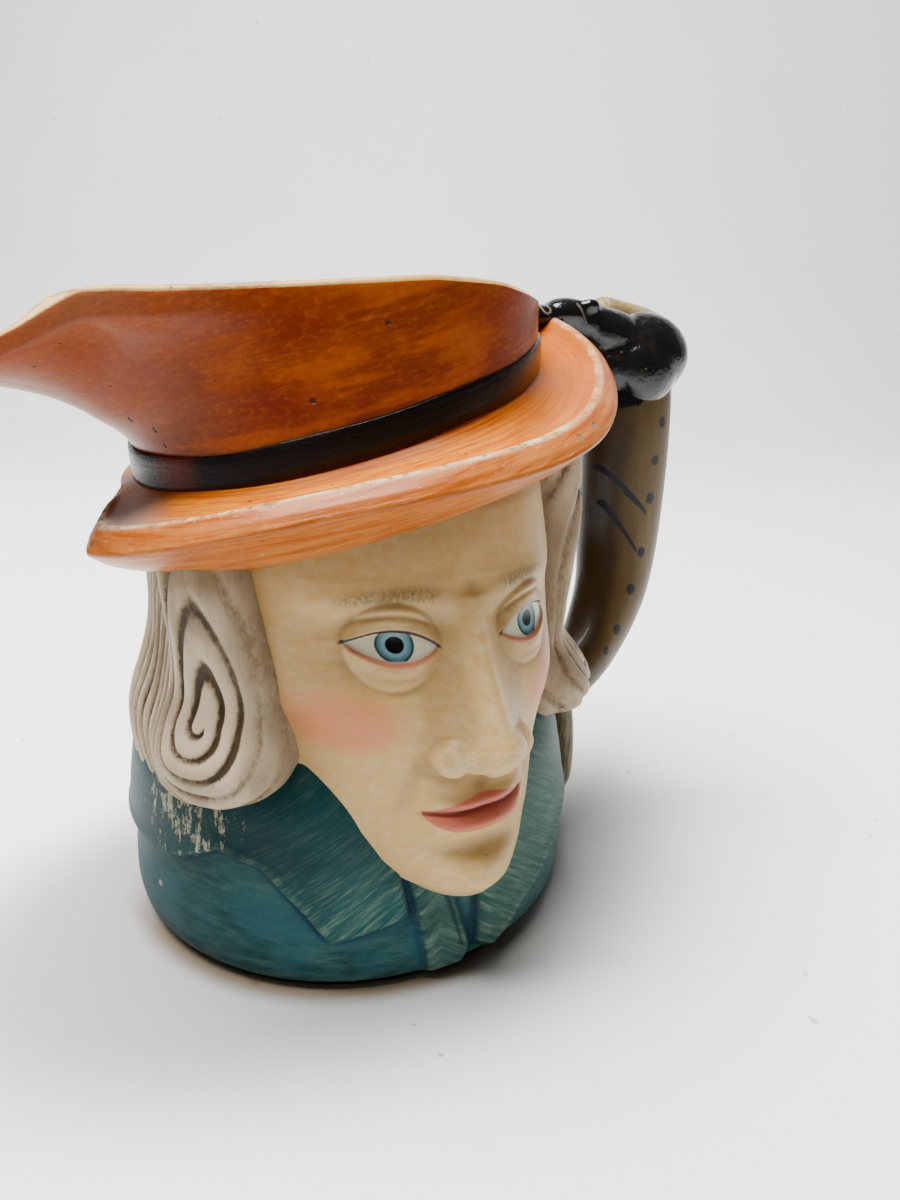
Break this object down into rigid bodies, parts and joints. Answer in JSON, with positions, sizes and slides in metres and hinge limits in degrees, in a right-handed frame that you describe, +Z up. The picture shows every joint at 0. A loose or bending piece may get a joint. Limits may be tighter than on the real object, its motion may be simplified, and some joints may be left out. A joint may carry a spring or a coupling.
{
  "type": "toby jug",
  "caption": "Earthenware jug shaped as a man's head in a wide-brimmed hat, with the crown drawn out to a pouring spout and a curved handle behind.",
  "frame": {"origin": "centre of the flat round foot, on the jug's own axis", "axes": "+Z up; the face looks along -Y; the spout points along -X and the handle stands on the +X side"},
  "size_m": [0.2036, 0.1458, 0.155],
  "materials": {
    "painted_glaze": "hand-painted colours under a clear glaze"
  },
  "bodies": {
    "root": {"jug": "painted_glaze"}
  },
  "joints": []
}
